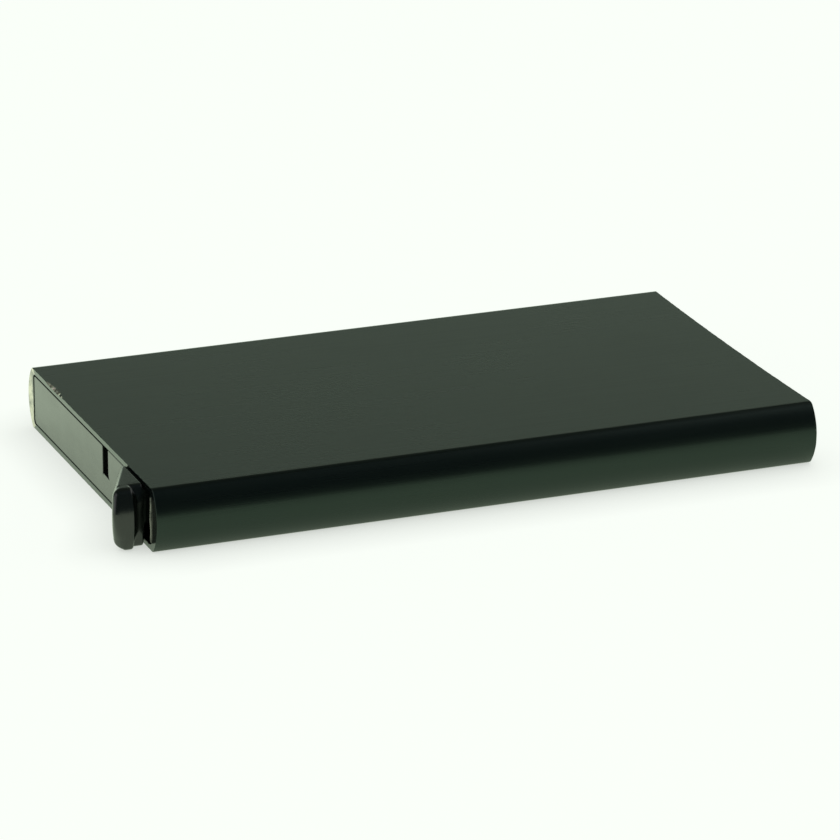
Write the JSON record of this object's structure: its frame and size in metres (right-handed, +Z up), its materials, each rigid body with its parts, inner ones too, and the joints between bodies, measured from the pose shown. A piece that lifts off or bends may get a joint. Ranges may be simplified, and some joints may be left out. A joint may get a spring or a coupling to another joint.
{
  "type": "card wallet",
  "caption": "Slim black aluminium card wallet: a flat sleeve open at one end and closed at the other by a plastic plug with a corner thumb lever that pushes the cards out as a stair.",
  "frame": {"origin": "centre of the sleeve's flat bottom face", "axes": "+X along the sleeve to the open card mouth, +Y across it away from the thumb lever's corner, +Z up through the thickness"},
  "size_m": [0.1075, 0.06, 0.0095],
  "materials": {
    "anodised_sleeve": "satin black anodised, with bare sawn ends",
    "black_plastic": "glossy moulded black plastic",
    "pin_steel": "turned steel",
    "pad_felt": "pressed black felt",
    "pad_tape": "double-sided adhesive tape"
  },
  "bodies": {
    "case": {"sleeve": "anodised_sleeve", "end_plug": "black_plastic", "pivot_pin": "pin_steel", "pivot_washer": "pin_steel", "felt_pad_top": "pad_felt", "felt_pad_bottom": "pad_felt", "pad_tape_top": "pad_tape", "pad_tape_bottom": "pad_tape"},
    "lever": {"eject_lever": "black_plastic"}
  },
  "joints": [
    {"name": "lever_pivot", "type": "hinge", "parent": "case", "child": "lever", "pos_m": [-0.0432, -0.0126, 0.0053], "axis": [0, 0, -1], "range_deg": [0, 30]}
  ]
}
